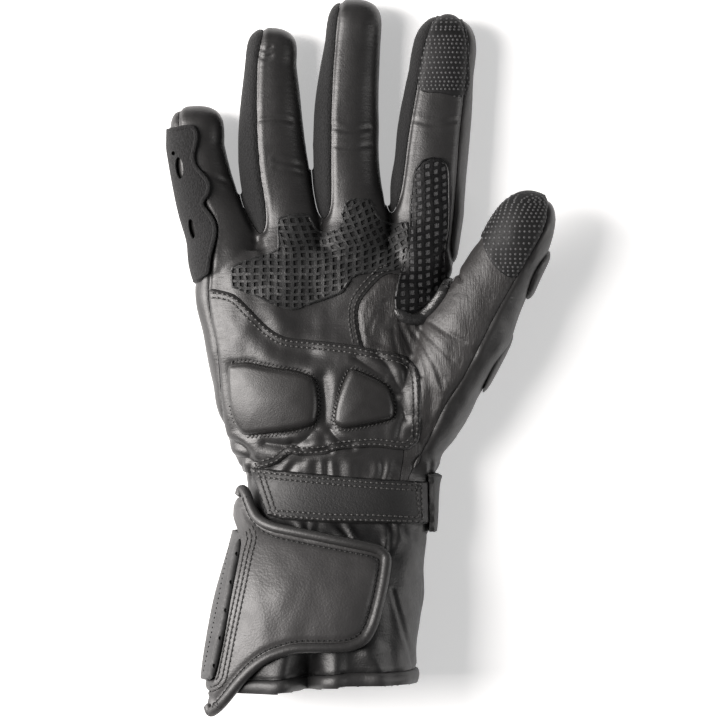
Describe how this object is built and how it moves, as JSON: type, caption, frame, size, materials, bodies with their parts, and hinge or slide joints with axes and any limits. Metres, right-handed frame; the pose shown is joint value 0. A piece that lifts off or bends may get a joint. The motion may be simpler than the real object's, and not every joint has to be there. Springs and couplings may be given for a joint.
{
  "type": "gauntlet sport glove",
  "caption": "Right-hand padded leather gauntlet glove lying palm up, with net grips, heel pads, a wrist strap and a wrapped cuff flap.",
  "frame": {"origin": "on the surface the glove lies on, below the middle of its whole plan", "axes": "+X towards the thumb side, +Y towards the fingertips, +Z out of the palm"},
  "size_m": [0.1738, 0.3188, 0.0652],
  "materials": {
    "smooth_leather": "satin smooth full-grain leather",
    "brushed_leather": "satin leather brushed by use",
    "cuff_leather": "satin leather with fine grain",
    "pad_leather": "satin leather stretched over a pad",
    "grained_leather": "pebbled satin leather",
    "piping_leather": "satin leather rolled over a cord",
    "folded_leather": "glossy folded leather edge",
    "strap_leather": "fine grained leather",
    "side_fabric": "matt knitted side strip",
    "guard_suede": "matt microfibre suede",
    "binding": "ribbed edge tape",
    "grip_net": "glossy raised net on a matt ground",
    "grip_dots": "matt print of small raised dots",
    "ridge_rubber": "satin moulded rubber"
  },
  "bodies": {
    "root": {"palm_leather": "smooth_leather", "little_finger_leather": "smooth_leather", "ring_finger_leather": "smooth_leather", "middle_finger_leather": "smooth_leather", "index_finger_leather": "smooth_leather", "thumb_leather": "brushed_leather", "thumb_back": "smooth_leather", "back_leather": "smooth_leather", "fourchette_little_ring": "side_fabric", "fourchette_ring_middle": "side_fabric", "fourchette_middle_index": "side_fabric", "index_side": "smooth_leather", "outer_side": "smooth_leather", "thumb_side": "smooth_leather", "wrist_gather": "cuff_leather", "cuff_body": "cuff_leather", "cuff_hem_binding": "binding", "palm_grip": "grip_net", "web_grip": "grip_net", "web_grip_edge": "folded_leather", "heel_panel": "smooth_leather", "heel_pad_outer": "pad_leather", "heel_pad_inner": "pad_leather", "index_tip_grip": "grip_dots", "thumb_tip_grip": "grip_dots", "little_finger_guard": "guard_suede", "thumb_guard_tip": "guard_suede", "thumb_guard_root": "guard_suede", "wrist_strap": "strap_leather", "strap_keeper": "strap_leather", "cuff_flap": "grained_leather", "flap_piping": "piping_leather", "cuff_side_ridge": "ridge_rubber"}
  },
  "joints": []
}
